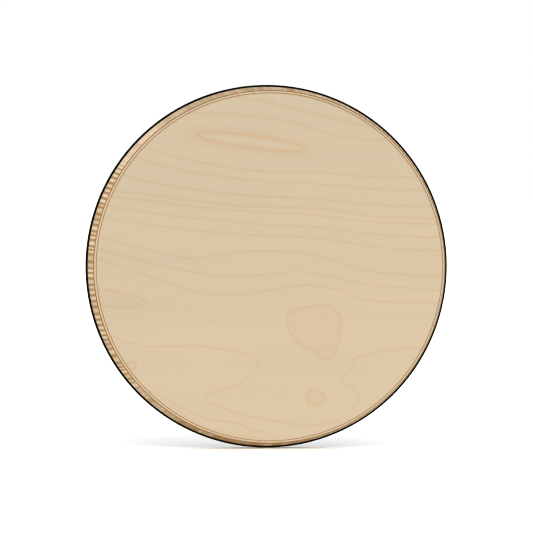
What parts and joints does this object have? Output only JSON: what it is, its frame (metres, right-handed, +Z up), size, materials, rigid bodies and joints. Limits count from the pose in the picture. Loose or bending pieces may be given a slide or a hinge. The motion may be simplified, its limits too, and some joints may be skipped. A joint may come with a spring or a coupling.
{
  "type": "bass drum",
  "caption": "Shallow round bass drum standing on its edge: bevelled plywood playing face, reeded wooden hoop, black rubber rim and ported back panel.",
  "frame": {"origin": "on the floor under the middle of the drum, which stands on the rubber rim", "axes": "+Y along the drum's axis from the playing face to the back panel, +Z up, +X to the right of someone facing the playing face"},
  "size_m": [0.457, 0.0502, 0.457],
  "materials": {
    "birch_face": "satin lacquer",
    "brown_crossband": "satin lacquer",
    "birch_backing": "satin lacquer",
    "dark_hardwood": "satin lacquer",
    "reeded_wood": "satin lacquer",
    "inner_wood": "sanded",
    "brass": "turned",
    "black_rubber": "matte",
    "black_panel": "satin black lacquer",
    "black_steel": "black oxide",
    "black_moulding": "fine texture"
  },
  "bodies": {
    "root": {"face_veneer": "birch_face", "crossband_veneer": "brown_crossband", "backing_veneer": "birch_backing", "joint_ring": "dark_hardwood", "reeded_hoop": "reeded_wood", "inner_ply": "inner_wood", "front_lining": "inner_wood", "rear_lining": "inner_wood", "splice_block": "inner_wood", "threaded_inserts": "brass", "rubber_rim": "black_rubber", "back_panel": "black_panel", "cup_washers": "black_steel", "panel_screws": "black_steel", "port_ring": "black_moulding", "port_lock_ring": "black_moulding", "left_back_brace": "inner_wood", "right_back_brace": "inner_wood"}
  },
  "joints": []
}
